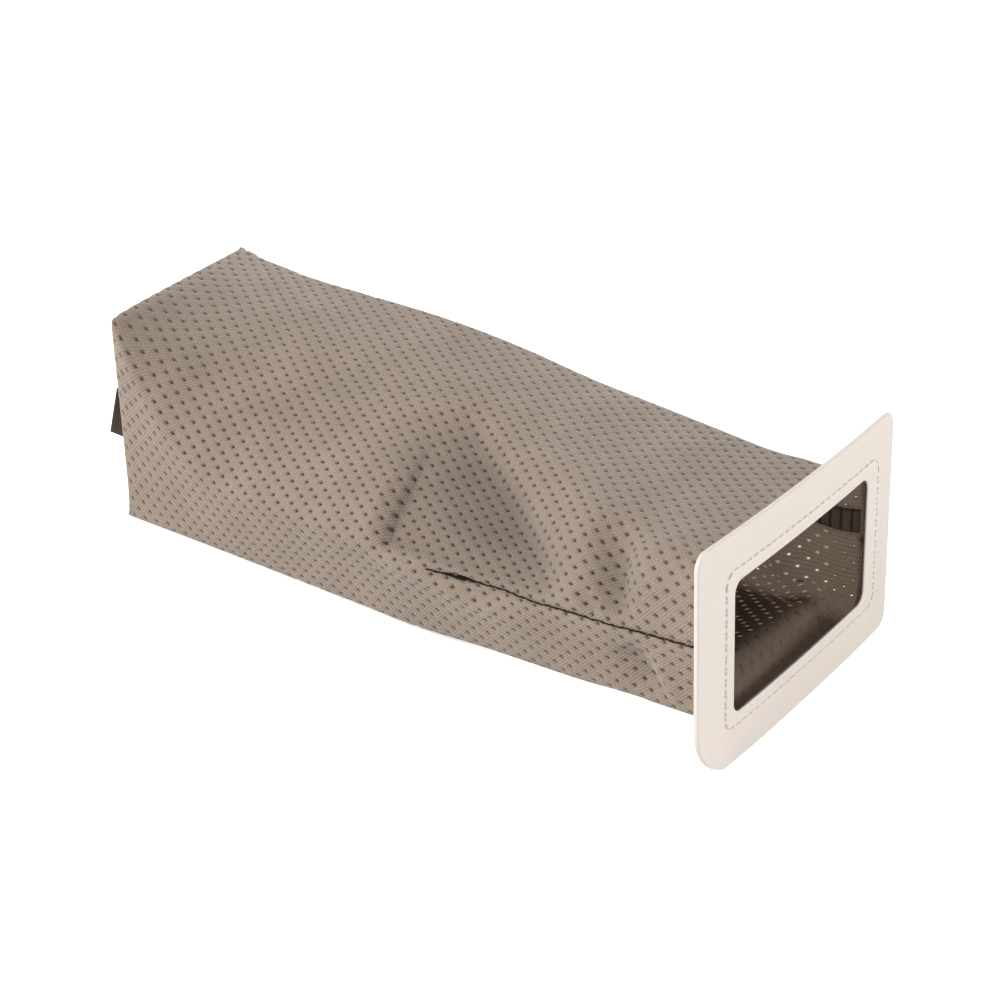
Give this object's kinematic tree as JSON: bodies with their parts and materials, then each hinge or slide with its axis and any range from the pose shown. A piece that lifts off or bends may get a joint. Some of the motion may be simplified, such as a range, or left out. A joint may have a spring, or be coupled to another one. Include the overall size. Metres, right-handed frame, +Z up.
{
  "type": "vacuum dust bag",
  "caption": "Reusable vacuum dust bag of perforated knit cloth, sewn to a flexible flange plate with a rectangular opening and one keyed corner, with a pull tab at its far end.",
  "frame": {"origin": "centre of the bounding box in X and Y, on the surface that the bag lies on", "axes": "+Y from the flange plate to the bag's far end, +Z up, +X to the right seen from the plate's front"},
  "size_m": [0.088, 0.1988, 0.0556],
  "materials": {
    "plate": "soft moulded, cream",
    "knit": "perforated warp knit, grey brown",
    "overlock": "knit edge bound with dark overlock thread",
    "webbing": "dark woven webbing"
  },
  "bodies": {
    "root": {"flange_plate": "plate", "upper_panel": "knit", "lower_panel": "knit", "near_side_seam": "overlock", "back_side_seam": "overlock", "end_seam": "overlock", "pull_tab": "webbing"}
  },
  "joints": []
}
